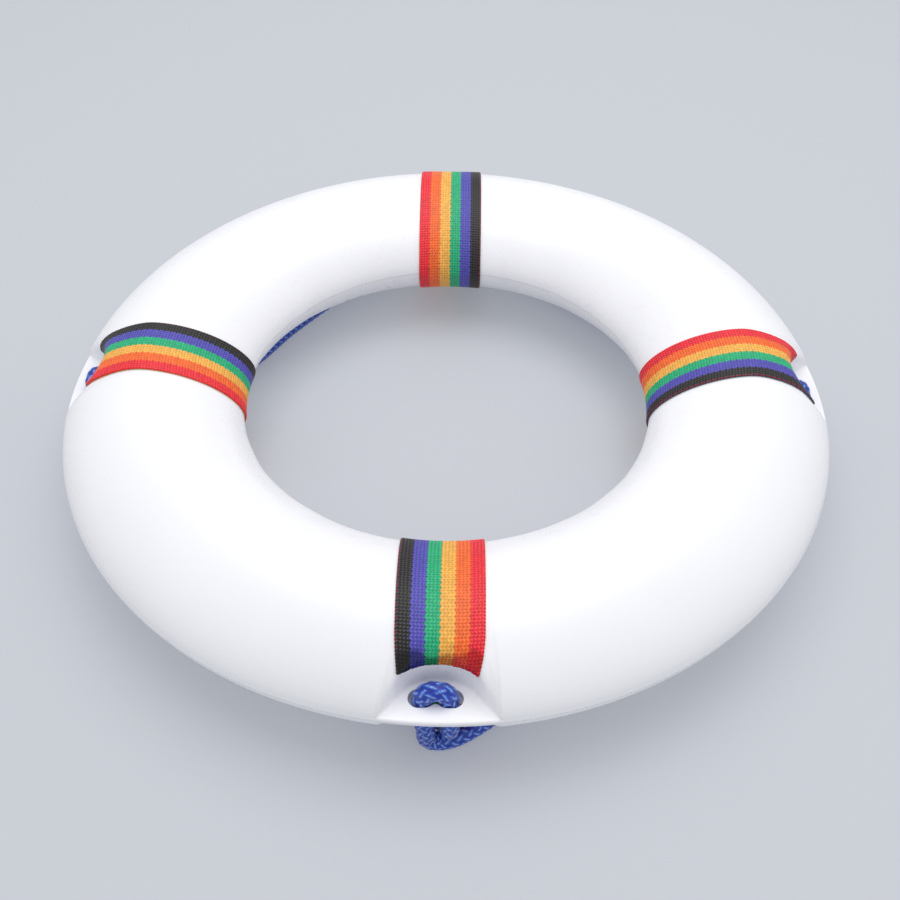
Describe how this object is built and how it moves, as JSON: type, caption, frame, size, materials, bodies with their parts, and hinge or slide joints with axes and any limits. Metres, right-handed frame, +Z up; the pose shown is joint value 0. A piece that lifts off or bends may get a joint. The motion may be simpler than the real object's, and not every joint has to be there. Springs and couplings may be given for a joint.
{
  "type": "ring lifebuoy",
  "caption": "Rigid white ring lifebuoy with rainbow webbing bands and a braided grab rope threaded through slotted lugs in its rim.",
  "frame": {"origin": "the ring's centre, at the parting plane of its two shell halves", "axes": "+Z up along the ring's axis; the front lug is on -Y, the right lug on +X"},
  "size_m": [0.56, 0.56, 0.1038],
  "materials": {
    "gloss_white": "gloss",
    "plug_white": "satin",
    "closed_cell_foam": "matte",
    "rainbow_webbing": "satin",
    "blue_braid": "satin",
    "shrink_sleeve": "satin"
  },
  "bodies": {
    "root": {"upper_shell": "gloss_white", "lower_shell": "gloss_white", "foam_core": "closed_cell_foam", "foam_fill_plug": "plug_white", "foam_vent_plug": "plug_white", "webbing_band_front": "rainbow_webbing", "webbing_band_right": "rainbow_webbing", "webbing_band_back": "rainbow_webbing", "webbing_band_left": "rainbow_webbing", "grab_rope": "blue_braid", "rope_joining_sleeve": "shrink_sleeve"}
  },
  "joints": []
}
